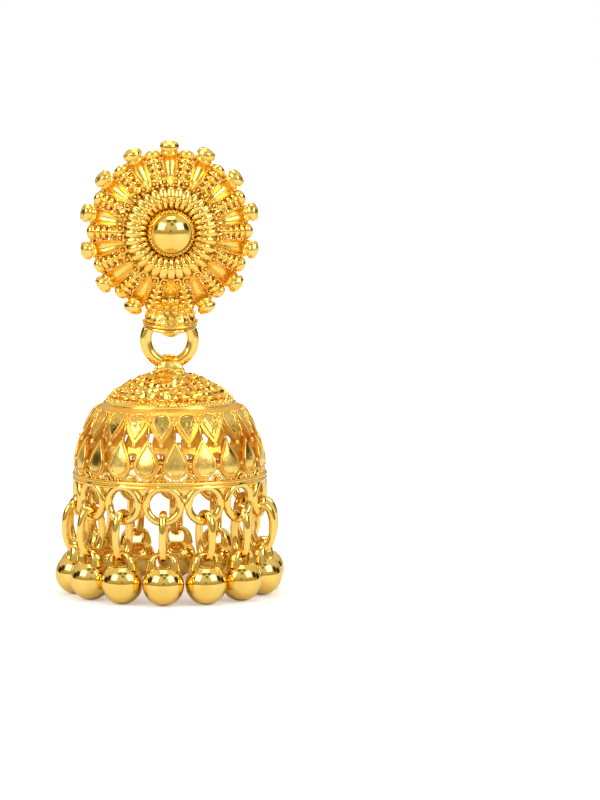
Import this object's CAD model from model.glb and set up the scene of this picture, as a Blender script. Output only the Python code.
# %% [markdown]
# # A gold jhumka earring
#
# A jhumka is a little bell that hangs under an ear stud. The real one is cast and soldered gold:
# a flower-shaped stud, a jump ring, and a pierced dome with a fringe of balls on oval links.
# The construction is fixed already. This script gives each part its fine metalwork and its finish.
# Every shape is a surface worked out with numpy, because jewellery is a small pattern repeated
# round an axis: one motif is drawn once, flat, and then laid round the piece as many times as needed.

import bmesh
import bpy
import numpy as np
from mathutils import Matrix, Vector


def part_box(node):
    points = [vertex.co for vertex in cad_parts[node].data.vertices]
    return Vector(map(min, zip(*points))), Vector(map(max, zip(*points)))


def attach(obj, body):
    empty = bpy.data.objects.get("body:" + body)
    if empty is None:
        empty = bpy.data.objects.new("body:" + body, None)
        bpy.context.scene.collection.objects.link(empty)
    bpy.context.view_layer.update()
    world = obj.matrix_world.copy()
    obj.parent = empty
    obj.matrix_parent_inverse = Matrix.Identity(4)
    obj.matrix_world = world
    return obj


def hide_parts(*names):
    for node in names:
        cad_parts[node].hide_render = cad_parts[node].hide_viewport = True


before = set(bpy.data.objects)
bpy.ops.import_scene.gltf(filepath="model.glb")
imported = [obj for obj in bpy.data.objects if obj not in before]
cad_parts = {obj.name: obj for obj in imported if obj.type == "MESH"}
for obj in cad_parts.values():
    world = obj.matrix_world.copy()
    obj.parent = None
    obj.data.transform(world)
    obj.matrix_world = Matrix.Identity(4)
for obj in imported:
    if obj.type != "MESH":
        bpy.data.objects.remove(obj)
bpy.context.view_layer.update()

# %% [markdown]
# ## Where things are
#
# Shapes are drawn in millimetres and turned into metres only when a mesh is made.
# The places come from the frame's own boxes: the bell hangs on one vertical axis, the jump ring's
# box gives that axis, and the first ball's box gives the circle on which the fringe hangs.

# %% Measure the frame
MM = 0.001


def span(node):
    """A node's box in millimetres, as its lowest and its highest corner."""
    low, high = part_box(node)
    return np.array(low) / MM, np.array(high) / MM


ring_low, ring_high = span("jump_ring")
ring_middle = (ring_low + ring_high) / 2
ball_low, ball_high = span("drop_ball_01")
BELL_Y = ring_middle[1]
RING_WIRE = (ring_high[1] - ring_low[1]) / 2
RING_CIRCLE = (ring_high[0] - ring_low[0]) / 2 - RING_WIRE
FLOOR_Z = ball_low[2]
BALL = (ball_high[0] - ball_low[0]) / 2
BALL_CIRCLE = np.hypot(*((ball_low + ball_high) / 2 - [0, BELL_Y, 0])[:2])
DROPS = sum(name.startswith("drop_ball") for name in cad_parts)
print("bell axis y", round(BELL_Y, 2), "balls", DROPS, "on a circle of", round(BALL_CIRCLE, 2), "mm")

# %% [markdown]
# ## A language for shapes
#
# A shape here is a pair: an array of points and an array of four-cornered faces. A grid of points
# becomes a shape when neighbours are joined, so a function of two parameters is all that a surface
# needs. The order of the corners decides which side is out: rows run up the outside of a piece and
# columns run round it anticlockwise, and then every face points outwards.

# %% Join a grid of points into faces
def surface(grid, loop=False, around=True):
    """Joins each point of a grid with the next in its row and its column.
    With around the last column meets the first, and with loop the last row meets the first."""
    rows, columns = grid.shape[:2]
    index = np.arange(rows * columns).reshape(rows, columns)
    if loop:
        index = np.vstack([index, index[:1]])
    if around:
        index = np.hstack([index, index[:, :1]])
    corners = [index[:-1, :-1], index[:-1, 1:], index[1:, 1:], index[1:, :-1]]
    return grid.reshape(-1, 3), np.stack(corners, -1).reshape(-1, 4)


def joined(*shapes):
    """Several shapes as one, the faces of each counted on from the points before it."""
    starts = np.cumsum([0] + [len(points) for points, faces in shapes])
    faces = [faces + start for (points, faces), start in zip(shapes, starts)]
    return np.vstack([points for points, _ in shapes]), np.vstack(faces)


# %% Move, turn and repeat a shape
def shift(x=0.0, y=0.0, z=0.0):
    """The matrix that moves a point by x, y and z."""
    matrix = np.eye(4)
    matrix[:3, 3] = x, y, z
    return matrix


def turn(axis, degrees):
    """Turns about one axis: a stack of matrices, one for each angle."""
    angle = np.radians(np.atleast_1d(degrees).astype(float))
    a, b = {"X": (1, 2), "Y": (2, 0), "Z": (0, 1)}[axis]
    matrices = np.tile(np.eye(4), (len(angle), 1, 1))
    matrices[:, a, a] = matrices[:, b, b] = np.cos(angle)
    matrices[:, b, a] = np.sin(angle)
    matrices[:, a, b] = -np.sin(angle)
    return matrices


def placed(shape, matrices):
    """One copy of a shape for each matrix of a stack."""
    points, faces = shape
    matrices = np.reshape(matrices, (-1, 4, 4))
    spots = np.einsum("kij,nj->kni", matrices[:, :3, :3], points) + matrices[:, None, :3, 3]
    starts = len(points) * np.arange(len(matrices))
    return spots.reshape(-1, 3), (faces + starts[:, None, None]).reshape(-1, 4)


# %% Draw smooth curves, turned shapes and wires
def curve(knots, steps=6, closed=False):
    """A smooth line through a few points. Between two points it is a cubic whose slope at each
    is half the way from the point before to the point after (a Catmull-Rom curve)."""
    knots = np.asarray(knots, float)
    before, after = (knots[-1:], knots[:2]) if closed else (knots[:1], knots[-1:])
    held = np.vstack([before, knots, after])
    a, b, c, d = (held[i : len(held) - 3 + i, None] for i in range(4))
    t = np.linspace(0, 1, steps, endpoint=False)[:, None]
    square, cube = 2 * a - 5 * b + 4 * c - d, 3 * b - a - 3 * c + d
    line = (2 * b + (c - a) * t + square * t**2 + cube * t**3) / 2
    line = line.reshape(-1, knots.shape[1])
    return line if closed else np.vstack([line, knots[-1]])


def turned(profile, around=48, loop=False):
    """A profile of (radius, height) points carried once round the Z axis:
    x is the radius times the cosine of the angle, and y is the radius times its sine."""
    radius, height = np.asarray(profile, float).T[:, :, None]
    angle = np.arange(around) * 2 * np.pi / around
    grid = np.stack([radius * np.cos(angle), radius * np.sin(angle), height + 0 * angle], -1)
    return surface(grid, loop=loop)


def tube(path, radius, normal=(0, 0, 1), sides=8, closed=False, flat=1.0):
    """A wire along a path. Its section is a circle across the way ahead, and normal says which way
    is up off the surface that the path lies on. flat squeezes the section towards that surface.
    An open wire ends in a rounded tip."""
    path = np.asarray(path, float)
    ahead = np.roll(path, -1, 0) - np.roll(path, 1, 0) if closed else np.gradient(path, axis=0)
    ahead /= np.linalg.norm(ahead, axis=1, keepdims=True)
    side = np.cross(np.broadcast_to(np.asarray(normal, float), path.shape), ahead)
    side /= np.linalg.norm(side, axis=1, keepdims=True)
    up = np.cross(ahead, side) * flat
    radius = np.broadcast_to(np.asarray(radius, float), len(path))
    if not closed:
        tips = [path[0] - ahead[0] * radius[0] * far for far in (1, 0.7)]
        ends = [path[-1] + ahead[-1] * radius[-1] * far for far in (0.7, 1)]
        path = np.vstack([tips, path, ends])
        side, up = (np.vstack([v[:1], v[:1], v, v[-1:], v[-1:]]) for v in (side, up))
        radius = np.hstack([0, 0.7 * radius[0], radius, 0.7 * radius[-1], 0])
    angle = (np.arange(sides) * 2 * np.pi / sides)[:, None]
    section = np.cos(angle) * side[:, None] + np.sin(angle) * up[:, None]
    return surface(path[:, None] + radius[:, None, None] * section, loop=closed)


def circle(radius, steps=24):
    """Points once round a circle in the XY plane."""
    angle = np.arange(steps) * 2 * np.pi / steps
    return np.stack([radius * np.cos(angle), radius * np.sin(angle), 0 * angle], -1)


def bead(radius, sides=8, rings=5, flat=1.0):
    """A small ball, or a squashed one: a half circle of (cosine, sine) turned round the Z axis."""
    angle = np.linspace(-np.pi / 2, np.pi / 2, rings + 1)
    return turned(np.stack([radius * np.cos(angle), radius * flat * np.sin(angle)], -1), sides)


def beads(spots, flat=1.0):
    """Several beads, from rows of x, y, z and radius."""
    return joined(*(placed(bead(row[3], flat=flat), shift(*row[:3])) for row in spots))


print("a bead has", len(bead(1)[1]), "faces")

# %% [markdown]
# ## Motifs: teardrops and plates
#
# Petals, scales and leaves are all one outline, a teardrop: a circle whose width is pinched to
# nothing towards one end. A plate fills an outline with rings that shrink to its heart, so it can
# be flat, domed or hollow, and it has a back, because a real petal is a thin piece of metal.

# %% Outline a teardrop and fill it
def teardrop(width, length, steps=36, pinch=1.3, tip_up=True):
    """A closed outline, anticlockwise from its tip. The height goes as the cosine of t, and the
    half width as the sine of t times the sine of t / 2 raised to the pinch."""
    t = np.arange(steps) * 2 * np.pi / steps
    half = np.sin(t) * np.abs(np.sin(t / 2)) ** pinch
    line = np.stack([-half / np.abs(half).max() * width / 2, np.cos(t) * length / 2], -1)
    return line if tip_up else -line


def plate(outline, heart, thickness, crown, rings=4):
    """A closed plate. The ring shrunk to the share f of the outline stands half a thickness up,
    plus the crown times (1 - f squared), so a negative crown makes a dish."""
    share = np.hstack([[0, 1], np.linspace(1, 0, rings + 1)])
    height = thickness / 2 + crown * (1 - share**2)
    height[:2] = -thickness / 2
    flat = np.asarray(heart) + share[:, None, None] * (outline - np.asarray(heart))
    return surface(np.dstack([flat, np.broadcast_to(height[:, None], flat.shape[:2])]))


def outlined(outline, wire, lift=0.0, sides=6, flat=1.0):
    """A wire laid once round an outline, lifted off the surface."""
    path = np.column_stack([outline, np.full(len(outline), lift)])
    return tube(path, wire, sides=sides, closed=True, flat=flat)


def hammered(shape, marks, depth, size, rng):
    """Presses round hammer marks into a shape. Each point sinks towards the shape's middle by
    depth times (1 - distance squared over size squared) of the nearest mark, and a negative depth
    raises lumps."""
    points, faces = shape
    middle = points.mean(0)
    struck = points[rng.choice(len(points), marks, replace=False)]
    gap = np.linalg.norm(points[:, None] - struck[None], axis=2).min(1)
    sink = depth * np.clip(1 - (gap / size) ** 2, 0, 1)
    inward = middle - points
    inward /= np.linalg.norm(inward, axis=1, keepdims=True) + 1e-9
    return points + inward * sink[:, None], faces


print("a petal plate has", len(plate(teardrop(2, 3), (0, -0.5), 0.2, 0.1)[1]), "faces")

# %% [markdown]
# ## Gold
#
# Gold has no colour of its own but the tint of what it mirrors, so the material is a metal with a
# warm base colour and a low roughness. In deep places light bounces from gold to gold and grows
# orange by itself. What the nodes add is what a workshop leaves: a slow drift of the plating's
# colour, a roughness that comes and goes, and a fine relief, different for each way of finishing.
# There are six: polished, hammered, cast as it came, satin for the leaves and the lower petals, a
# dull deep gold for what lies behind the petals, and amber for the scales of the cap.

# %% Mix the gold
def link(tree, start, end):
    """Joins an output socket to an input socket."""
    tree.links.new(start, end)


def added(tree, kind):
    """A new shader node of a kind such as Bump."""
    return tree.nodes.new("ShaderNode" + kind)


def noise(tree, scale, detail=3.0, stretch=(1, 1, 1)):
    """A noise texture in the object's own metres; scale is in grains per metre."""
    place = added(tree, "TexCoord")
    mapping = added(tree, "Mapping")
    mapping.inputs["Scale"].default_value = stretch
    texture = added(tree, "TexNoise")
    texture.inputs["Scale"].default_value = scale
    texture.inputs["Detail"].default_value = detail
    link(tree, place.outputs["Object"], mapping.inputs["Vector"])
    link(tree, mapping.outputs["Vector"], texture.inputs["Vector"])
    return texture.outputs["Fac"]


def ramp(tree, value, low, high, start=0.35, end=0.65):
    """Maps a value to a colour between low and high."""
    node = added(tree, "ValToRGB")
    for element, position, colour in zip(node.color_ramp.elements, (start, end), (low, high)):
        element.position = position
        element.color = (*colour, 1)
    link(tree, value, node.inputs["Fac"])
    return node.outputs["Color"]


def between(tree, value, low, high, start=0.3, end=0.7):
    """Maps a value from start-end to low-high, and holds it there beyond."""
    node = added(tree, "MapRange")
    for name, number in zip(("From Min", "From Max", "To Min", "To Max"), (start, end, low, high)):
        node.inputs[name].default_value = number
    link(tree, value, node.inputs["Value"])
    return node.outputs["Result"]


def relief(tree, value, depth, normal=None):
    """Raises the surface by up to depth metres where a value is high."""
    node = added(tree, "Bump")
    node.inputs["Distance"].default_value = depth
    link(tree, value, node.inputs["Height"])
    if normal:
        link(tree, normal, node.inputs["Normal"])
    return node.outputs["Normal"]


def gold(name, pale, deep, rough, wave, grain, depth):
    """A metal whose colour drifts from pale to deep over a few millimetres. rough is its lowest and
    highest roughness, and wave and grain are the sizes of its two reliefs, in millimetres."""
    material = bpy.data.materials.new(name)
    material.use_nodes = True
    tree = material.node_tree
    metal = tree.nodes["Principled BSDF"]
    metal.inputs["Metallic"].default_value = 1.0
    link(tree, ramp(tree, noise(tree, 1 / (3.1 * MM)), deep, pale), metal.inputs["Base Color"])
    link(tree, between(tree, noise(tree, 1 / (0.7 * MM)), *rough), metal.inputs["Roughness"])
    swell = relief(tree, noise(tree, 1 / (wave * MM), 1.0), depth * MM)
    fine = relief(tree, noise(tree, 1 / (grain * MM)), depth * MM / 6, swell)
    link(tree, fine, metal.inputs["Normal"])
    print(name, "roughness", rough, "relief", depth, "mm")
    return material


PALE_GOLD, DEEP_GOLD, AMBER_GOLD = (1.0, 0.73, 0.21), (1.0, 0.67, 0.15), (1.0, 0.62, 0.12)
DULL_PALE, DULL_DEEP = (1.0, 0.60, 0.11), (1.0, 0.50, 0.06)
SCALE_PALE, SCALE_DEEP = (1.0, 0.68, 0.16), (1.0, 0.54, 0.08)
polished = gold("polished_gold", PALE_GOLD, DEEP_GOLD, (0.04, 0.11), 1.2, 0.12, 0.006)
hammered_gold = gold("hammered_gold", PALE_GOLD, DEEP_GOLD, (0.10, 0.2), 0.42, 0.08, 0.05)
cast = gold("cast_gold", PALE_GOLD, AMBER_GOLD, (0.10, 0.22), 0.30, 0.06, 0.02)
satin = gold("satin_gold", PALE_GOLD, DEEP_GOLD, (0.16, 0.30), 0.55, 0.10, 0.02)
deep_gold = gold("deep_gold", DULL_PALE, DULL_DEEP, (0.30, 0.46), 0.60, 0.16, 0.05)
amber = gold("amber_gold", SCALE_PALE, SCALE_DEEP, (0.08, 0.17), 0.45, 0.10, 0.03)

# %% [markdown]
# ## Turning a shape into a piece
#
# A piece is a mesh that lies where its points say, with its object left at the origin. Points that
# fall together, at poles and seams, are welded, and edges sharper than a given angle stay crisp,
# as they would on turned metal. The volume is printed: it is positive only if faces point out.

# %% Make a piece
def build(name, shape, material, body, slot, *nodes, crisp=38):
    """Makes one mesh of a shape, rides it on a body and lets it stand for CAD nodes."""
    points, faces = shape
    mesh = bpy.data.meshes.new(name)
    mesh.from_pydata((points * MM).tolist(), [], faces.tolist())
    work = bmesh.new()
    work.from_mesh(mesh)
    bmesh.ops.remove_doubles(work, verts=work.verts, dist=0.00003 * MM)
    volume = work.calc_volume(signed=True) / MM**3
    work.to_mesh(mesh)
    work.free()
    mesh.shade_smooth()
    mesh.set_sharp_from_angle(angle=np.radians(crisp))
    mesh.materials.append(material)
    piece = bpy.data.objects.new(name, mesh)
    bpy.context.scene.collection.objects.link(piece)
    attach(piece, body)
    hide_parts(*nodes)
    triangles = sum(len(face.vertices) - 2 for face in mesh.polygons)
    print(f"{name}: {triangles} triangles, {volume:.2f} cubic mm")
    return piece


# %% [markdown]
# ## The stud's face
#
# The stud is a flower about 18 mm across. Its face rises from the rim to the middle, and everything
# on it repeats 14 times. A motif is drawn with x across, y away from the middle and z out of the
# face, and is then turned round the middle. At the last position, the foot, the hinge cup takes
# the place of a knob.

# %% Set out the face
PETALS_ROUND = 14
PITCH = 360 / PETALS_ROUND
FACE = turn("X", 90)[0]
KNOBS = 180 + PITCH * np.arange(1, PETALS_ROUND)
RODS = 180 + PITCH * (np.arange(PETALS_ROUND) + 0.5)
QUARTERS = 180 + PITCH * (np.arange(2 * PETALS_ROUND) / 2 + 0.25)
FACE_SLOPE = [(0.0, 4.4), (4.3, 3.9), (5.3, 3.2), (7.9, 1.9), (9.0, 1.5)]


def rise(y):
    """How far the stud's face stands off its back, y from the middle."""
    return np.interp(y, *np.transpose(FACE_SLOPE))


def on_face(shape, angles):
    """One copy of a motif for each angle round the stud."""
    return placed(shape, FACE @ turn("Z", angles))


print(len(KNOBS), "knobs,", len(RODS), "rods,", PITCH, "degrees apart")

# %% [markdown]
# ### Knobs and rods
#
# Each knob is a button on a neck, turned round an axis that points outwards and leans a little
# to the front. Each rod is a turned spindle: a domed end and a row of shrinking rings.
# A profile of a few points is enough for both.

# %% Turn the knobs
KNOB_FOOT, KNOB_HEIGHT, KNOB_LEAN = 7.38, 2.1, 14
KNOB_PROFILE = [
    (0, 0), (0.70, 0.0), (0.84, 0.10), (0.88, 0.24), (0.82, 0.38), (0.74, 0.44), (0.76, 0.50),
    (0.90, 0.58), (0.96, 0.74), (0.94, 0.92), (0.82, 1.16), (0.68, 1.26), (0.60, 1.25),
    (0.40, 1.36), (0, 1.42),
]
knob = hammered(turned(curve(KNOB_PROFILE, 3), 28), 14, 0.05, 0.42, np.random.default_rng(3))
knob = placed(knob, shift(0, KNOB_FOOT, KNOB_HEIGHT) @ turn("X", KNOB_LEAN - 90))
build("stud_knobs", on_face(knob, KNOBS), polished, "stud", "polished_gold", "rosette", crisp=50)

# %% Turn the ribbed rods
ROD_OUTER, ROD_INNER = np.array([0, 7.85, 2.1]), np.array([0, 4.7, 3.65])
ROD_RINGS = [(1.06, 0.74, 0.44), (1.66, 0.70, 0.42), (2.26, 0.60, 0.40)]
rod_profile = [
    (0, 0), (0.40, 0.03), (0.64, 0.16), (0.76, 0.42), (0.76, 0.70), (0.56, 0.90), (0.36, 0.94),
]
for start, radius, height in ROD_RINGS:
    rod_profile += [(0.36, start), (radius - 0.07, start + 0.03), (radius, start + height / 2)]
    rod_profile += [(radius - 0.07, start + height - 0.03), (0.34, start + height)]
rod_profile += [(0.26, 2.78), (0.40, 2.92), (0.36, 3.12), (0.22, 3.20), (0.26, 3.34), (0, 3.46)]
ROD_TILT = np.degrees(np.arctan2(*(ROD_OUTER - ROD_INNER)[1:] * [1, -1]))
rod = placed(turned(curve(rod_profile, 2), 22), shift(*ROD_OUTER) @ turn("X", ROD_TILT))
build("stud_rods", on_face(rod, RODS), polished, "stud", "polished_gold", "rosette", crisp=60)

# %% [markdown]
# ### Leaves
#
# Under each knob lies a hollow leaf with a raised edge, its point towards the middle. It is a
# gutter carried along the leaf: the section says how high each share of the width stands, and the
# width swells and closes along the way. A shorter leaf lies above the hinge cup.

# %% Lay the leaves
LEAF_OUTER, LEAF_LENGTH, LEAF_HALF = 7.75, 3.35, 0.76
FOOT_LEAF_OUTER, FOOT_LEAF_LENGTH = 6.4, 2.0
LEAF_SECTION = np.array([
    (-0.8, -0.70), (-1.0, 0.0), (-0.98, 0.20), (-0.90, 0.25), (-0.80, 0.14), (-0.68, -0.24),
    (-0.3, -0.42), (0, -0.45), (0.3, -0.42), (0.68, -0.24), (0.80, 0.14), (0.90, 0.25),
    (0.98, 0.20), (1.0, 0.0), (0.8, -0.70), (0, -0.85),
])


def leaf_shape(outer, length, steps=20):
    """The share of the width goes across and the height up; along the leaf, t runs from its round
    end to its tip, and the half width is the sine of pi times t to the power 0.6, softened."""
    t = np.linspace(0, 1, steps)[:, None]
    half = LEAF_HALF * np.clip(np.sin(np.pi * t**0.60), 0, 1) ** 0.62
    share, height = LEAF_SECTION[::-1].T
    y = outer - length * t
    x = half * share
    z = rise(y) + 0.45 + height * np.minimum(1, half / LEAF_HALF * 1.4)
    return surface(np.stack([x, y + 0 * x, z], -1))


leaves = joined(
    on_face(leaf_shape(LEAF_OUTER, LEAF_LENGTH), KNOBS),
    on_face(leaf_shape(FOOT_LEAF_OUTER, FOOT_LEAF_LENGTH), [180]),
)
build("stud_leaves", leaves, satin, "stud", "cast_gold", "rosette", crisp=60)

# %% [markdown]
# ### The openwork between them
#
# Behind the leaves and rods the casting is a dish with two hoops, and between them sit curls of
# wire, each round a grain. The curls are small and many, so each is a thin ring of few faces.
# Their places wander a little, as soldered ones do; the wander is drawn from a seeded generator.

# %% Turn the dish and its hoops
DISH_PROFILE = [
    (0, 0.5), (5.0, 0.5), (5.5, 1.2), (5.55, 2.0), (5.3, 2.3), (4.6, 2.7), (4.3, 3.3),
    (3.0, 4.2), (1.5, 4.4), (0, 4.4),
]
HOOPS = [(7.35, 0.34, 1.25), (6.35, 0.24, 1.75)]  # radius, wire, height
dish = turned(DISH_PROFILE, 84)
hoops = joined(*(
    placed(tube(circle(radius, 84), wire, closed=True), shift(z=height))
    for radius, wire, height in HOOPS
))
build("stud_dish", placed(joined(dish, hoops), FACE), cast, "stud", "cast_gold", "rosette")

# %% Curl the filigree
rng = np.random.default_rng(14)
CURL_TILT, CURL_LIFT, GRAIN_LIFT, WANDER = -25, 0.30, 0.26, 0.35
MIRRORED = np.tile([1, -1], PETALS_ROUND)
# From the middle, degrees aside, radius and, for a curl, its wire.
CURL_ROWS = [(4.86, 0.4, 0.34, 0.11), (5.55, 0.5, 0.23, 0.09)]
GRAIN_ROWS = [(4.50, 3.4, 0.16), (4.50, -3.4, 0.16), (6.10, 0.6, 0.15), (7.0, 0.3, 0.17)]


def curl(radius, wire):
    """A ring of wire round a grain that stands up in it."""
    return joined(tube(circle(radius, 14), wire, sides=5, closed=True), bead(radius * 0.52, 7, 4))


curls = []
for y, aside, radius, wire in CURL_ROWS:
    lift = shift(y=y, z=rise(y) + CURL_LIFT) @ turn("X", CURL_TILT)
    angles = QUARTERS + aside * MIRRORED + rng.normal(0, WANDER, len(QUARTERS))
    curls.append(on_face(placed(curl(radius, wire), lift), angles))
for y, aside, radius in GRAIN_ROWS:
    grain = placed(bead(radius), shift(y=y, z=rise(y) + GRAIN_LIFT))
    curls.append(on_face(grain, QUARTERS + aside * MIRRORED))
build("stud_filigree", joined(*curls), cast, "stud", "cast_gold", "rosette", crisp=70)

# %% [markdown]
# ### The fluted collar and the button
#
# Round the middle runs a ring of 32 fat petals like grains of rice, leaning outwards, and inside
# it a ring of 32 narrow teeth that lean inwards. A small dark notch is left where the two rings
# meet. Then come a groove, a bezel with fine ribs up its slope, and in it a polished button.

# %% Set the petals and the teeth of the collar
FLUTES = 32


def rice(half, length, high):
    """A grain of rice: a bead stretched to a half width, a length and a height. Its ends are kept
    full, because the share of the way along is raised to the power 0.7."""
    points, faces = bead(1, 14, 12)
    x, y, z = points.T
    return np.stack([half * x, length / 2 * np.sign(y) * np.abs(y) ** 0.7, high * z], -1), faces


petal = placed(rice(0.40, 1.40, 0.32), shift(0, 3.80, 4.74) @ turn("X", -22)[0])
tooth = placed(rice(0.23, 1.05, 0.28), shift(0, 2.90, 4.82) @ turn("X", 16)[0])
flutes = on_face(joined(petal, tooth), np.arange(FLUTES) * 360 / FLUTES)
BED_PROFILE = [(2.5, 3.8), (3.9, 3.7), (3.9, 4.2), (3.35, 4.55), (2.6, 4.3)]
collar = joined(flutes, placed(turned(BED_PROFILE, 64, loop=True), FACE))
build("collar_flutes", collar, polished, "stud", "polished_gold", "flower_collar", crisp=80)

# %% Turn the bezel and the button
BUTTON_RADIUS, BUTTON_FOOT, BUTTON_TOP, BUTTON_EDGE = 1.70, 5.9, 6.65, 42
BEZEL_PROFILE = [
    (0, 4.0), (2.52, 4.0), (2.54, 4.2), (2.38, 4.30), (2.30, 4.72), (2.18, 5.08), (2.08, 5.30),
    (2.00, 5.42), (1.92, 5.40), (1.86, 5.24), (1.84, 5.0), (1.72, 5.0), (1.66, 5.2), (1.66, 5.75),
]
RIBS, RIB_WIRE = 56, 0.075
RIB_LINE = [(0, 2.14, 5.20), (0, 2.24, 4.94), (0, 2.33, 4.62), (0, 2.52, 4.36)]

swell = np.radians(np.linspace(BUTTON_EDGE, 90, 12))
foot = np.sin(swell[0])
button_lift = (BUTTON_TOP - BUTTON_FOOT) * (np.sin(swell) - foot) / (1 - foot)
button_out = BUTTON_RADIUS * np.cos(swell) / np.cos(swell[0])
button = np.stack([button_out, BUTTON_FOOT + button_lift], -1)
ribs = placed(tube(RIB_LINE, RIB_WIRE, (1, 0, 0), sides=6), turn("Z", np.arange(RIBS) * 360 / RIBS))
boss = placed(joined(turned(np.vstack([BEZEL_PROFILE, button]), 72), ribs), FACE)
build("middle_button", boss, polished, "stud", "polished_gold", "centre_boss", crisp=45)

# %% [markdown]
# ### The hinge cup
#
# At the foot of the stud a half cup hides the eye that holds the jump ring. Seen from above it is
# a letter D: round in front and flat behind, so that the ring can swing. Its front leans down,
# its wall carries rows of grains among shallow petals, and a round wire runs along its rim.

# %% Shape the cup
CUP_RIM, CUP_BACK, CUP_LEAN, CUP_FORWARD, CUP_FLAT = -8.55, 2.42, 0.22, 0.40, 0.06
CUP_PROFILE = [
    (0, -1.66), (0.35, -1.58), (0.9, -1.22), (1.6, -0.84), (2.2, -0.66), (2.50, -0.54),
    (2.60, -0.38), (2.58, -0.22), (2.36, -0.14), (2.36, 0.0), (2.46, 0.10), (2.48, 0.35),
    (2.34, 0.80), (2.05, 1.25), (1.62, 1.70), (1.05, 2.10), (0.5, 2.38), (0, 2.5),
]
# The grains on the wall, a row of each: radius, height, how many, and their size.
WALL_ROWS = [
    (2.28, 0.84, 9, 0.25), (1.98, 1.30, 8, 0.25), (1.58, 1.70, 6, 0.28), (1.02, 2.08, 5, 0.30),
    (0.42, 2.36, 3, 0.30),
]


def cup_point(radius, height, angle):
    """A point of the cup: a D-shaped plan, sheared so that its front hangs lower. Below the rim it
    is sheared forward too, which leaves the ring room to swing to the front."""
    out = radius * np.sin(angle)
    out = np.where(out < 0, CUP_FLAT * out, out)
    flat_side = CUP_BACK + CUP_FORWARD * np.clip(-height, 0, 2)
    return np.stack([radius * np.cos(angle), CUP_RIM + height - CUP_LEAN * out, flat_side + out], -1)


def cup_shape(around=96, lobes=8):
    """The profile carried round the D. Above the rim the radius swells once for each petal."""
    radius, height = curve(CUP_PROFILE, 3).T[:, :, None]
    angle = -np.arange(around) * 2 * np.pi / around
    wave = np.sqrt(np.abs(np.sin(lobes * angle / 2))) - 0.8
    petals = 1 + 0.05 * np.clip(2 * height - 0.1, 0, 1) * wave
    return surface(cup_point(radius * petals, height + 0 * angle, angle))


half_way = np.linspace(0.02, np.pi - 0.02, 30)
rim_wire = tube(cup_point(2.56, 0.02, half_way), 0.15, (0, 1, 0))
grain_angles = np.radians(np.linspace(0, 180, 15)[1:-1])
rim_grains = [(*cup_point(2.36, 0.34, angle), 0.17) for angle in grain_angles]
wall_grains = []
for radius, height, count, size in WALL_ROWS:
    for angle in np.radians(180 * (np.arange(count) + 0.5) / count):
        wall_grains.append((*cup_point(radius, height, angle), size))
wall = hammered(cup_shape(), 30, 0.10, 0.45, np.random.default_rng(5))
cup = joined(wall, rim_wire, beads(rim_grains + wall_grains))
build("hinge_cup", placed(cup, FACE), cast, "stud", "polished_gold", "rosette", crisp=50)

# %% [markdown]
# ### What the front hides
#
# Behind the cup a bridge of metal carries a round eye, in which the jump ring turns with a little
# play. The ear post is a plain pin with a groove near its end, on a round pad.

# %% Bend the hidden eye and make the ear post
EYE_CIRCLE, EYE_WIRE, EYE_PLAY = 1.18, 0.22, 0.08
eye_height = ring_middle[2] + RING_CIRCLE - RING_WIRE - EYE_PLAY + EYE_CIRCLE - EYE_WIRE
eye = tube(circle(EYE_CIRCLE), EYE_WIRE, closed=True)
eye = placed(eye, shift(0, eye_height, -BELL_Y) @ turn("Y", 90))
bridge_y = eye_height + EYE_CIRCLE
bridge = tube([(0, bridge_y, 0.9), (0, bridge_y, 2.0), (0, bridge_y + 0.1, 3.2)], 0.5, (0, 1, 0))
build("ring_eye", placed(joined(eye, bridge), FACE), cast, "stud", "cast_gold", "rosette")

PAD_RADIUS, PAD_THICKNESS, POST_RADIUS, GROOVE_RADIUS = 5.2, 0.5, 0.45, 0.34
post_end = -span("ear_post")[1][1]
POST_PROFILE = [
    (0, post_end), (0.22, post_end + 0.04), (POST_RADIUS, post_end + 0.5),
    (POST_RADIUS, post_end + 1.5), (GROOVE_RADIUS, post_end + 1.65), (GROOVE_RADIUS, post_end + 1.95),
    (POST_RADIUS, post_end + 2.1), (POST_RADIUS, -0.35), (0.75, 0), (PAD_RADIUS - 0.08, 0),
    (PAD_RADIUS, 0.08), (PAD_RADIUS, PAD_THICKNESS), (0, PAD_THICKNESS),
]
post = placed(turned(POST_PROFILE, 64), FACE)
build("post_and_pad", post, polished, "stud", "polished_gold", "ear_post")

# %% [markdown]
# ## The jump ring
#
# The ring is round wire bent in a circle: a circle carried round a circle.

# %% Bend the jump ring
ring = tube(circle(RING_CIRCLE, 96), RING_WIRE, sides=24, closed=True)
ring = placed(placed(ring, FACE), shift(*ring_middle))
build("ring_wire", ring, polished, "ring", "polished_gold", "jump_ring")

# %% [markdown]
# ## Round the bell
#
# The bell's motifs are drawn flat, x to the right, y up and z outwards, and then wrapped on its
# side. The side is one smooth line of radius against height. A motif's x becomes an angle and its
# y a way along the side, so a petal keeps its real width and length whatever the curve does.

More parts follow.
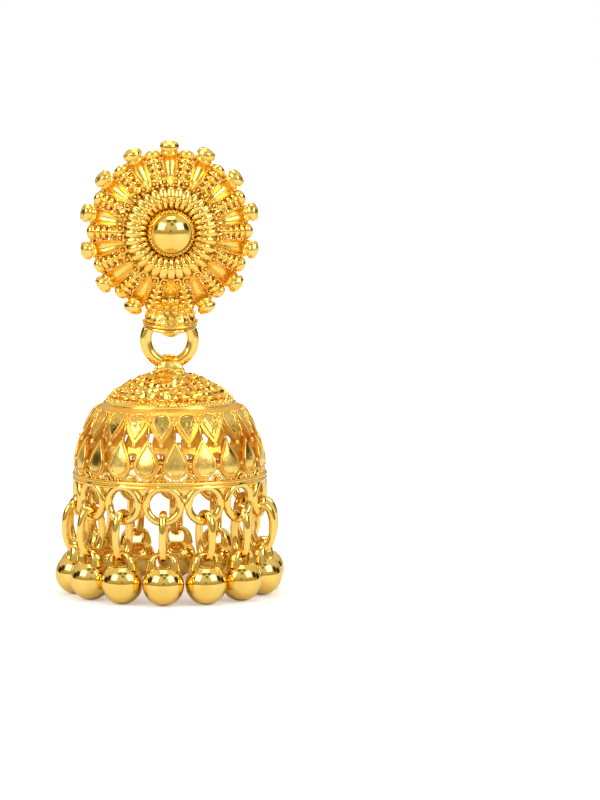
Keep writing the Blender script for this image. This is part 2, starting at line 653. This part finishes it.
# %% Wrap a flat motif on a side
class Side:
    """A line of (height, radius) points from the top down, measured along its own length."""

    def __init__(self, rows):
        self.height, self.radius = curve(rows, 24).T
        steps = np.hypot(np.diff(self.height), np.diff(self.radius))
        self.way = np.hstack([0, np.cumsum(steps)])
        slope = np.gradient(np.stack([self.radius, self.height]), self.way, axis=1)
        self.out_x, self.out_z = -slope[1], slope[0]

    def wrap(self, shape, angles, level):
        """One copy for each angle, with y = 0 of the flat shape at the height called level."""
        (x, y, z), faces = shape[0].T, shape[1]
        way = np.interp(-level, -self.height, self.way) - y
        lines = (self.radius, self.height, self.out_x, self.out_z)
        radius, height, out_x, out_z = [np.interp(way, self.way, line) for line in lines]
        angle = np.radians(np.atleast_1d(angles))[:, None] + x / radius
        far = radius + z * out_x
        up = np.broadcast_to(height + z * out_z, angle.shape)
        spots = np.stack([far * np.sin(angle), BELL_Y - far * np.cos(angle), up], -1)
        starts = len(x) * np.arange(len(spots))
        return spots.reshape(-1, 3), (faces + starts[:, None, None]).reshape(-1, 4)


def on_bell(shape):
    """A shape turned round the Z axis, moved to the bell's axis."""
    return placed(shape, shift(y=BELL_Y))


dome_side = Side([
    (-16.55, 6.25), (-17.1, 7.12), (-18.1, 7.80), (-19.25, 8.28), (-20.1, 8.60), (-21.0, 8.90),
    (-22.0, 9.08), (-23.2, 9.08), (-24.2, 9.0), (-25.4, 9.0), (-27.6, 9.0),
])
PETALS = 20
LOWER = np.arange(PETALS) * 360 / PETALS
UPPER = LOWER + 180 / PETALS
RIM_TOP = -23.2
side_length = np.interp(-RIM_TOP, -dome_side.height, dome_side.way)
print("from the cap to the rim the side is", round(float(side_length), 2), "mm long")

# %% [markdown]
# ### The dome's petals
#
# Twenty petals hang point down under the cap, and twenty more stand point up between them.
# Each is a thin plate in a rim of wire, and behind it stands a wider band that carries it. The
# upper plates are hammered all over and the lower ones have a few soft marks.

# %% Hang the upper petals
PLATE_SHARE, BAND_THICKNESS, BAND_SINK = 0.93, 0.42, -0.17
UPPER_WIDTH, UPPER_LENGTH, UPPER_LEVEL, UPPER_HEART = 1.54, 2.50, -18.12, (0, 0.52)


def petal_row(flat, marks, tilt, angles, level):
    """One hammered copy of a flat plate for each angle. marks are how many hammer marks it gets,
    their depth and their size. Each copy leans its own way, by tilt degrees about X and Y."""
    row = []
    for angle in angles:
        lean = turn("X", rng.normal(0, tilt[0]))[0] @ turn("Y", rng.normal(0, tilt[1]))[0]
        row.append(dome_side.wrap(placed(hammered(flat, *marks, rng), lean), angle, level))
    return joined(*row)


outline = teardrop(UPPER_WIDTH, UPPER_LENGTH, 40, 1.55, tip_up=False)
upper_plate = plate(outline * PLATE_SHARE, UPPER_HEART, 0.2, 0.0, 8)
upper_plates = petal_row(upper_plate, (60, 0.07, 0.22), (2.5, 3.5), UPPER, UPPER_LEVEL)
build("upper_plates", upper_plates, hammered_gold, "bell", "hammered_gold", "bell_dome", crisp=60)
band_line = teardrop(UPPER_WIDTH + 0.84, UPPER_LENGTH + 1.0, 40, 1.15, tip_up=False)
upper_band = placed(plate(band_line, UPPER_HEART, BAND_THICKNESS, 0, 2), shift(y=-0.06, z=BAND_SINK))
upper_bands = dome_side.wrap(upper_band, UPPER, UPPER_LEVEL)
upper_rims = dome_side.wrap(outlined(outline, 0.07, 0.12), UPPER, UPPER_LEVEL)
build("upper_rims", upper_rims, polished, "bell", "cast_gold", "bell_dome", crisp=70)

# %% Stand the lower petals
LOWER_WIDTH, LOWER_LENGTH, LOWER_LEVEL, LOWER_HEART = 1.74, 3.10, -21.14, (0, -0.55)
outline = teardrop(LOWER_WIDTH, LOWER_LENGTH, 44, 1.4)
lower_plate = plate(outline * PLATE_SHARE, LOWER_HEART, 0.24, 0.03, 8)
lower_plates = petal_row(lower_plate, (5, 0.035, 0.6), (2.0, 3.5), LOWER, LOWER_LEVEL)
build("lower_plates", lower_plates, satin, "bell", "hammered_gold", "bell_dome", crisp=50)
band_line = teardrop(LOWER_WIDTH + 0.66, LOWER_LENGTH + 0.70, 44, 1.25)
lower_band = placed(plate(band_line, LOWER_HEART, BAND_THICKNESS, 0, 2), shift(y=0.04, z=BAND_SINK))
lower_bands = dome_side.wrap(lower_band, LOWER, LOWER_LEVEL)
lower_rims = dome_side.wrap(outlined(outline, 0.08, 0.12), LOWER, LOWER_LEVEL)
build("lower_rims", lower_rims, polished, "bell", "cast_gold", "bell_dome", crisp=70)

# %% [markdown]
# ### The net between the petals
#
# What holds the petals is a net: a triangle of grains under the cap between two heads, a strut
# from where two heads meet down to the point below, a bead on every upper point with a small web
# under it, and chevrons of wire over the rim. All the gaps are open, as in the real dome. A narrow
# shoulder closes the way from the petals' heads to the edge of the cap, and joins the two.

# %% Solder the net
NET_LEVEL, TIP_LEVEL, WEB_LEVEL = -17.15, -19.86, -20.34
WAIST_LEVEL, CHEVRON_LEVEL, FOOT_LEVEL = -21.85, -22.68, -23.05
STRUT_LINE = [(0, -0.9, -0.14), (0, -1.6, -0.14), (0, -2.4, -0.14)]
WEB_LINE = [
    (-0.66, 0.36), (-0.22, 0.30), (0.22, 0.30), (0.66, 0.36),
    (0.50, -0.34), (0.22, -0.20), (-0.22, -0.20), (-0.50, -0.34),
]
CHEVRON_LINE = [
    (-0.80, -0.62, 0), (-0.46, -0.10, 0.02), (0, 0.24, 0.04), (0.46, -0.10, 0.02), (0.80, -0.62, 0),
]
GUSSET_LINE = [(0, 0.16), (-0.72, -0.66), (0.72, -0.66)]
SHOULDER_PROFILE = [
    (7.10, -17.20), (6.96, -17.02), (6.54, -16.72), (6.20, -16.56),
    (6.00, -16.80), (6.35, -16.94), (6.62, -17.10), (6.82, -17.30),
]
under_cap = beads([
    (-0.30, 0.0, 0, 0.19), (0.30, 0.0, 0, 0.19), (0, -0.38, 0, 0.20), (0, -0.98, 0.02, 0.17),
])
meeting = placed(curl(0.17, 0.07), shift(y=-0.68, z=0.05))
strut = tube(STRUT_LINE, 0.12, flat=1.8)
net_top = dome_side.wrap(joined(under_cap, meeting, strut), LOWER, NET_LEVEL)
tips = dome_side.wrap(placed(bead(0.25, 10, 6), shift(z=0.06)), UPPER, TIP_LEVEL)
waist = beads([(0, 0.10, 0.02, 0.20)])
chevron = tube(CHEVRON_LINE, 0.12, sides=6)
chevrons = joined(chevron, placed(curl(0.22, 0.09), shift(y=-0.36, z=0.05)))
net_low = joined(
    dome_side.wrap(waist, UPPER, WAIST_LEVEL), dome_side.wrap(chevrons, UPPER, CHEVRON_LEVEL),
)
feet = beads([(-0.34, 0, 0.02, 0.15), (0, -0.06, 0.04, 0.17), (0.34, 0, 0.02, 0.15)])
net_feet = dome_side.wrap(feet, LOWER, FOOT_LEVEL)

web = plate(curve(WEB_LINE, 3, closed=True)[::-1], (0, 0.05), 0.30, 0.0, 2)
webs = dome_side.wrap(placed(web, shift(z=-0.26)), UPPER, WEB_LEVEL)
gusset = placed(plate(np.array(GUSSET_LINE), (0, -0.4), 0.2, 0, 1), shift(z=-0.16))
gussets = dome_side.wrap(gusset, UPPER, CHEVRON_LEVEL)
shoulder = on_bell(turned(SHOULDER_PROFILE, 96, loop=True))
backs = joined(shoulder, upper_bands, lower_bands, webs, gussets)
build("petal_backs", backs, deep_gold, "bell", "cast_gold", "bell_dome", crisp=50)
dome_net = joined(net_top, tips, net_low, net_feet)
build("dome_net", dome_net, cast, "bell", "cast_gold", "bell_dome", crisp=70)

# %% [markdown]
# ### The cap
#
# Above the dome sits a low stepped cap covered with rows of scales, each row on its own step, and
# the last row is a run of tiny arches with a grain in each. A round wire closes its edge.

# %% Build the cap
cap_side = Side([
    (-13.95, 1.6), (-14.3, 2.7), (-14.72, 3.55), (-15.15, 4.35), (-15.7, 5.2), (-16.2, 5.85),
    (-16.6, 6.2),
])
CAP_STEPS = [
    (0, -13.8), (1.5, -13.9), (2.5, -14.22), (3.25, -14.52), (3.4, -14.76), (4.55, -15.12),
    (4.75, -15.5), (5.75, -16.1), (6.15, -16.35), (6.2, -16.7), (5.7, -16.7), (5.2, -16.3),
    (3.0, -15.2), (0, -14.6),
]
EDGE_RADIUS, EDGE_WIRE, EDGE_LEVEL = 6.26, 0.18, -16.60
cap_base = turned(np.array(CAP_STEPS)[::-1], 80)
edge_wire = placed(tube(circle(EDGE_RADIUS, 96), EDGE_WIRE, closed=True), shift(z=EDGE_LEVEL))
cap_base = on_bell(joined(cap_base, edge_wire))
build("cap_base", cap_base, polished, "bell", "polished_gold", "bell_cap", crisp=50)

# Level, how many, and width.
SCALE_ROWS = [
    (-14.16, 13, 0.98), (-14.50, 19, 1.0), (-14.90, 25, 1.02), (-15.32, 30, 1.04),
    (-15.76, 35, 1.04),
]
scales = []
for row, (level, count, width) in enumerate(SCALE_ROWS):
    scale = plate(teardrop(width, 0.95, 14, 0.5), (0, -0.10), 0.30, -0.16, 4)
    angles = (np.arange(count) + 0.5 * (row % 2)) * 360 / count + rng.normal(0, 0.9, count)
    for angle in angles:
        about_z, about_x, about_y = rng.normal(0, 14), rng.normal(9, 9), rng.normal(0, 10)
        lean = turn("Z", about_z)[0] @ turn("X", about_x)[0] @ turn("Y", about_y)[0]
        scales.append(cap_side.wrap(placed(scale, shift(z=0.10) @ lean), angle, level))
    grains = (angles + 180 / count)[rng.random(count) < 0.6]
    scales.append(cap_side.wrap(placed(bead(0.17, 8, 5), shift(z=0.18)), grains, level - 0.10))
build("cap_scales", joined(*scales), amber, "bell", "cast_gold", "bell_cap", crisp=60)

ARCHES, ARCH_HALF, ARCH_HEIGHT, ARCH_WIRE, ARCH_LEVEL = 38, 0.32, 0.42, 0.085, -16.42
swing = np.linspace(0, np.pi, 9)
arch_line = np.stack([ARCH_HALF * np.cos(swing), ARCH_HEIGHT * np.sin(swing), 0.08 + 0 * swing], -1)
arch_grain = placed(bead(0.12, 7, 4), shift(y=0.04, z=0.06))
arch = joined(tube(arch_line, ARCH_WIRE, sides=6), arch_grain)
arch_angles = np.arange(ARCHES) * 360 / ARCHES
between_arches = placed(bead(0.17, 8, 5), shift(y=0.28, z=0.12))
arches = joined(
    cap_side.wrap(arch, arch_angles, ARCH_LEVEL),
    cap_side.wrap(between_arches, arch_angles + 180 / ARCHES, ARCH_LEVEL),
)
build("cap_arches", arches, cast, "bell", "cast_gold", "bell_cap", crisp=70)

# %% [markdown]
# ### The finial
#
# The bell hangs by a saddle of hammered metal that arches over the jump ring. It is a strap with
# an oval section carried over the ring from front to back, growing wider and thicker downwards
# until it meets a cone.

# %% Arch the finial over the ring
ring_bottom = ring_middle[2] - RING_CIRCLE


def saddle_shape(steps=60, sides=26):
    """A strap carried over the ring's wire. At angle a from the front its inner wall is a circle
    round the wire, and all its thickness lies outside that. It is thin at the top and grows thick
    at the feet, and its half width grows the same way."""
    a = np.radians(np.linspace(-62, 242, steps))[:, None]
    b = np.arange(sides) * 2 * np.pi / sides
    height = np.sin(a)
    half = np.interp(-height, [-1, -0.6, -0.2, 0.2, 0.6, 0.9], [0.50, 0.66, 0.85, 1.20, 1.45, 1.6])
    close = np.interp(np.abs(np.degrees(a) - 90), [140, 152], [1, 0])
    thick = np.interp(-height, [-1, -0.4, 0.3, 1], [0.13, 0.17, 0.32, 0.42])
    radius = 0.64 + 0.24 * np.clip(-height, 0, 1) + thick * (1 + close * np.sin(b))
    x = half * close * np.cos(b)
    return surface(np.stack([x, -radius * np.cos(a), radius * np.sin(a)], -1)[:, ::-1])


CONE_PROFILE = [
    (2.3, -14.35), (1.98, -14.15), (1.72, -13.92), (1.5, -13.66), (1.1, -13.5), (0.6, -13.46),
    (0, -13.44),
]
saddle = hammered(placed(saddle_shape(), shift(z=ring_bottom)), 18, -0.10, 0.42, rng)
cone = turned(np.vstack([[(0, CONE_PROFILE[0][1])], curve(CONE_PROFILE, 4)]), 48)
cone = hammered(hammered(cone, 22, 0.16, 0.50, rng), 18, -0.20, 0.45, rng)
finial = on_bell(joined(saddle, cone))
build("finial", finial, hammered_gold, "bell", "hammered_gold", "bell_cap", crisp=60)

# %% [markdown]
# ### The rim and its circles
#
# The dome ends in a band with two bright ridges and a dark line between them. Under it hang 14
# circles of wire, one for each drop, with a small wedge of metal where two of them meet the band.

# %% Turn the rim and hang the circles
RIM_PROFILE = [
    (9.05, -23.99), (9.30, -23.95), (9.42, -23.82), (9.36, -23.68), (9.22, -23.60), (9.36, -23.52),
    (9.42, -23.38), (9.30, -23.25), (9.0, -23.2), (8.72, -23.3), (8.66, -23.6), (8.74, -23.9),
]
rim = turned(curve(RIM_PROFILE, 3, closed=True), 144, loop=True)
build("rim_band", on_bell(rim), polished, "bell", "polished_gold", "bell_skirt", crisp=60)

first_drop = np.degrees(np.arctan2(ball_low[0] + BALL, BELL_Y - ball_low[1] - BALL))
DROP_ANGLES = first_drop + np.arange(DROPS) * 360 / DROPS
CIRCLE_MIDDLE, CIRCLE_RADIUS, CIRCLE_WIRE, WEDGE_LEVEL = -25.43, 1.64, 0.39, -24.1
hoop = tube(circle(CIRCLE_RADIUS, 40), CIRCLE_WIRE, sides=12, closed=True)
WEDGE_LINE = [
    (-0.7, 0.28), (0, 0.32), (0.7, 0.28),
    (0.26, -0.16), (0.08, -0.40), (-0.08, -0.40), (-0.26, -0.16),
]
wedge = placed(plate(curve(WEDGE_LINE, 3, closed=True)[::-1], (0, 0), 0.26, 0.0, 2), shift(z=-0.22))
skirt = joined(
    dome_side.wrap(hoop, DROP_ANGLES, CIRCLE_MIDDLE),
    dome_side.wrap(wedge, DROP_ANGLES + 180 / DROPS, WEDGE_LEVEL),
)
build("skirt_circles", skirt, polished, "bell", "polished_gold", "bell_skirt", crisp=60)

# %% [markdown]
# ### Links and balls
#
# Each drop is an oval link through its circle, and a ball whose eye hangs on the link. The links
# stand edge on, each turned a little its own way. A ball is a turned profile that runs up the
# sphere to a shallow hollow at its top, and its eye is an arch over the hollow. The top of the arch
# is thick, and the bottom of each link runs into it by about a fifth of a millimetre.

# %% Hang the links
LINK_CIRCLE, LINK_TURN = 9.12, 16
LINK_TOP, LINK_BOTTOM, LINK_HALF, LINK_WIRE = -25.9, -30.93, 1.52, 0.37


def link_shape(steps=44):
    """A wire along a rounded oblong: the height is a cosine raised to the power 0.9 and the way out
    a sine raised to the power 0.8, so that the long sides run straighter than an ellipse's."""
    t = np.arange(steps) * 2 * np.pi / steps
    tall = (LINK_TOP - LINK_BOTTOM) / 2 - LINK_WIRE
    wide = LINK_HALF - LINK_WIRE
    up = tall * np.sign(np.cos(t)) * np.abs(np.cos(t)) ** 0.9
    out = wide * np.sign(np.sin(t)) * np.abs(np.sin(t)) ** 0.8
    return tube(np.stack([0 * t, up, out], -1), LINK_WIRE, (1, 0, 0), 14, closed=True)


def hung(shape, drop, radius, level, yaw=0.0):
    """A drop's part, out from the bell's axis, turned to face outwards and then by its own yaw."""
    outwards = shift(y=BELL_Y) @ turn("Z", DROP_ANGLES[drop]) @ FACE
    return placed(shape, outwards @ shift(0, level, radius) @ turn("Y", yaw))


for drop in range(DROPS):
    yaw = LINK_TURN * np.sin(2.4 * drop)
    shape = hung(link_shape(), drop, LINK_CIRCLE, (LINK_TOP + LINK_BOTTOM) / 2, yaw)
    name = f"link_{drop + 1:02d}"
    build(name, shape, polished, "bell", "polished_gold", f"drop_{name}")

# %% Hang the balls
EYE_FOOT, EYE_TOP, EYE_HALF = 1.40, 2.96, 1.12
HOLLOW_PROFILE = [(1.20, 1.60), (1.10, 1.62), (0.95, 1.56), (0.6, 1.46), (0, 1.42)]


def ball_shape():
    """A circle of (cosine, sine) turned round, hollowed a little at the top, and an arch over the
    hollow: its middle line is half an oval, thin at the top and swelling towards its feet."""
    angle = np.radians(np.linspace(-90, 51, 24))
    shell = np.stack([BALL * np.cos(angle), BALL * np.sin(angle)], -1)
    body = placed(turned(np.vstack([shell, curve(HOLLOW_PROFILE, 3)]), 48), turn("X", -90))
    a = np.linspace(0, np.pi, 30)
    high = np.sin(a) ** 0.55
    aside = EYE_HALF * np.sign(np.cos(a)) * np.abs(np.cos(a)) ** 0.9
    path = np.stack([aside, EYE_FOOT + (EYE_TOP - EYE_FOOT) * high, 0 * a], -1)
    thin = 0.19 + 0.36 * (1 - high) ** 0.8
    ahead = np.gradient(path, axis=0)
    ahead /= np.linalg.norm(ahead, axis=1, keepdims=True)
    across = np.stack([ahead[:, 1], -ahead[:, 0], 0 * a], -1) * thin[:, None]
    b = np.arange(16) * 2 * np.pi / 16
    deep = np.stack([0 * a, 0 * a, 0.56 + 0.24 * (1 - high)], -1)
    arch = path[:, None] + across[:, None] * np.cos(b)[:, None] + deep[:, None] * np.sin(b)[:, None]
    ends = [np.repeat(path[[i], None], 16, 1) for i in (0, -1)]
    return joined(body, surface(np.concatenate([ends[0], arch, ends[1]])[:, ::-1]))


for drop in range(DROPS):
    shape = hung(ball_shape(), drop, BALL_CIRCLE, FLOOR_Z + BALL)
    name = f"ball_{drop + 1:02d}"
    build(name, shape, polished, "bell", "polished_gold", f"drop_{name}", crisp=60)

# %% [markdown]
# ## The studio
#
# Polished gold shows the room. Here the room is a white table and walls that grow lighter upwards
# and are warm where they are dark: green falls with the level's share of white to the power 0.25,
# and blue to the power 0.8. A few dark cards draw thin black lines along the edges of the wires.
# Two soft boxes stand in front, left and right of the camera. What the camera sees behind the
# earring is plain white: a light path node splits what is seen from what is mirrored.

# %% Paint the room
TARGET = np.array([0, BELL_Y, -20.0])
AZIMUTH, ELEVATION, DISTANCE = -3.5, 6.9, 450.0
ROOM = [(0.0, 0.95), (0.495, 0.95), (0.505, 0.36), (0.58, 0.50), (0.70, 0.68), (1.0, 0.78)]
CARD_EDGE = 1.25
# Azimuth, elevation, reach in degrees, and the share of light that is left.
CARDS = [
    (-3.5, 13, 2.2, 0.02), (-3.5, 13, 6, 0.6), (-92, 22, 12, 0.08), (85, 22, 12, 0.08),
    (-22, 64, 9, 0.25), (30, 62, 8, 0.25), (-112, 8, 11, 0.05), (108, 8, 11, 0.05),
    (4, 46, 7, 0.3),
]


def direction(azimuth, elevation):
    """The way to a point of the room, in degrees round from the front and up from the floor."""
    a, e = np.radians([azimuth, elevation])
    return np.array([np.sin(a) * np.cos(e), -np.cos(a) * np.cos(e), np.sin(e)])



scene = bpy.context.scene
scene.view_settings.view_transform = "Standard"
world = bpy.data.worlds.new("studio")
scene.world = world
world.use_nodes = True
tree = world.node_tree
place = added(tree, "TexCoord")
split = added(tree, "SeparateXYZ")
link(tree, place.outputs["Generated"], split.inputs["Vector"])
upwards = between(tree, split.outputs["Z"], 0.0, 1.0, -1.0, 1.0)
walls = added(tree, "ValToRGB")
for _ in ROOM[2:]:
    walls.color_ramp.elements.new(0.5)
for element, (position, level) in zip(walls.color_ramp.elements, ROOM):
    element.position = position
    warm = level / ROOM[0][1]
    element.color = (level, level * warm**0.25, level * warm**0.8, 1)
link(tree, upwards, walls.inputs["Fac"])
shade = walls.outputs["Color"]
for azimuth, elevation, reach, level in CARDS:
    near = added(tree, "VectorMath")
    near.operation = "DOT_PRODUCT"
    near.inputs[1].default_value = tuple(direction(azimuth, elevation))
    link(tree, place.outputs["Generated"], near.inputs[0])
    edge, inside = np.cos(np.radians([reach * CARD_EDGE, reach]))
    card = between(tree, near.outputs["Value"], 1.0, level, edge, inside)
    dimmed = added(tree, "VectorMath")
    dimmed.operation = "MULTIPLY"
    link(tree, shade, dimmed.inputs[0])
    link(tree, card, dimmed.inputs[1])
    shade = dimmed.outputs["Vector"]
room = tree.nodes["Background"]
link(tree, shade, room.inputs["Color"])
sheet = added(tree, "Background")
sheet.inputs["Color"].default_value = (1, 1, 1, 1)
seen = added(tree, "LightPath")
mix = added(tree, "MixShader")
link(tree, seen.outputs["Is Camera Ray"], mix.inputs["Fac"])
link(tree, room.outputs["Background"], mix.inputs[1])
link(tree, sheet.outputs["Background"], mix.inputs[2])
link(tree, mix.outputs["Shader"], tree.nodes["World Output"].inputs["Surface"])
print("the room has", len(ROOM), "levels of light")


# %% Set the soft boxes, the table and the camera
def soft_box(name, azimuth, elevation, distance, size, brightness):
    """A square light that looks at the earring; its power is brightness times pi times its area."""
    light = bpy.data.lights.new(name, "AREA")
    light.size = size * MM
    light.energy = brightness * np.pi * light.size**2
    holder = bpy.data.objects.new(name, light)
    way = Vector(direction(azimuth, elevation))
    holder.location = Vector(TARGET * MM) + way * distance * MM
    holder.rotation_euler = way.to_track_quat("Z", "Y").to_euler()
    holder.visible_camera = False
    scene.collection.objects.link(holder)
    print(name, round(light.energy, 2), "W")


# Name, azimuth, elevation, distance, size and brightness.
SOFT_BOXES = [
    ("soft_box_left", -55, 34, 500, 260, 3.9),
    ("soft_box_right", 48, 34, 500, 260, 3.9),
    ("soft_box_top", 0, 88, 600, 320, 1.6),
    ("soft_box_back", 180, 48, 600, 280, 2.0),
]
for row in SOFT_BOXES:
    soft_box(*row)

TABLE_RADIUS, TABLE_GAP = 1200, 0.01
table = bpy.data.objects.new("table", bpy.data.meshes.new("table"))
disc = circle(TABLE_RADIUS, 96) + [0, 0, FLOOR_Z - TABLE_GAP]
table.data.from_pydata((disc * MM).tolist(), [], [list(range(len(disc)))])
white = bpy.data.materials.new("white_table")
white.use_nodes = True
white_tree = white.node_tree
paper = white_tree.nodes["Principled BSDF"]
paper.inputs["Roughness"].default_value = 0.6
tint = ramp(white_tree, noise(white_tree, 40), (0.84, 0.84, 0.84), (0.86, 0.86, 0.86))
link(white_tree, tint, paper.inputs["Base Color"])
glow = added(white_tree, "Emission")
both = added(white_tree, "AddShader")
table_seen = added(white_tree, "LightPath")
spot = added(white_tree, "TexCoord")
far = added(white_tree, "VectorMath")
far.operation = "LENGTH"
link(white_tree, spot.outputs["Object"], far.inputs[0])
fade = between(white_tree, far.outputs["Value"], 0.35, 1.2, 0.05, 0.4)
strength = added(white_tree, "Math")
strength.operation = "MULTIPLY"
link(white_tree, table_seen.outputs["Is Camera Ray"], strength.inputs[0])
link(white_tree, fade, strength.inputs[1])
link(white_tree, strength.outputs["Value"], glow.inputs["Strength"])
link(white_tree, paper.outputs["BSDF"], both.inputs[0])
link(white_tree, glow.outputs["Emission"], both.inputs[1])
link(white_tree, both.outputs["Shader"], white_tree.nodes["Material Output"].inputs["Surface"])
table.data.materials.append(white)
scene.collection.objects.link(table)

AIM_RIGHT, AIM_UP, LENS, SENSOR = 12.6, 3.55, 209.6, 36
to_camera = direction(AZIMUTH, ELEVATION)
right = np.array([np.cos(np.radians(AZIMUTH)), np.sin(np.radians(AZIMUTH)), 0])
up = np.cross(to_camera, right)
aim = TARGET + AIM_RIGHT * right + AIM_UP * up
lens = bpy.data.cameras.new("camera")
lens.lens, lens.sensor_width = LENS, SENSOR
lens.clip_start, lens.clip_end = 0.01, 5
camera = bpy.data.objects.new("camera", lens)
camera.location = Vector((TARGET + to_camera * DISTANCE) * MM)
camera.rotation_euler = (Vector(aim * MM) - camera.location).to_track_quat("-Z", "Y").to_euler()
scene.collection.objects.link(camera)
scene.camera = camera
print("camera at", [round(v, 3) for v in camera.location])
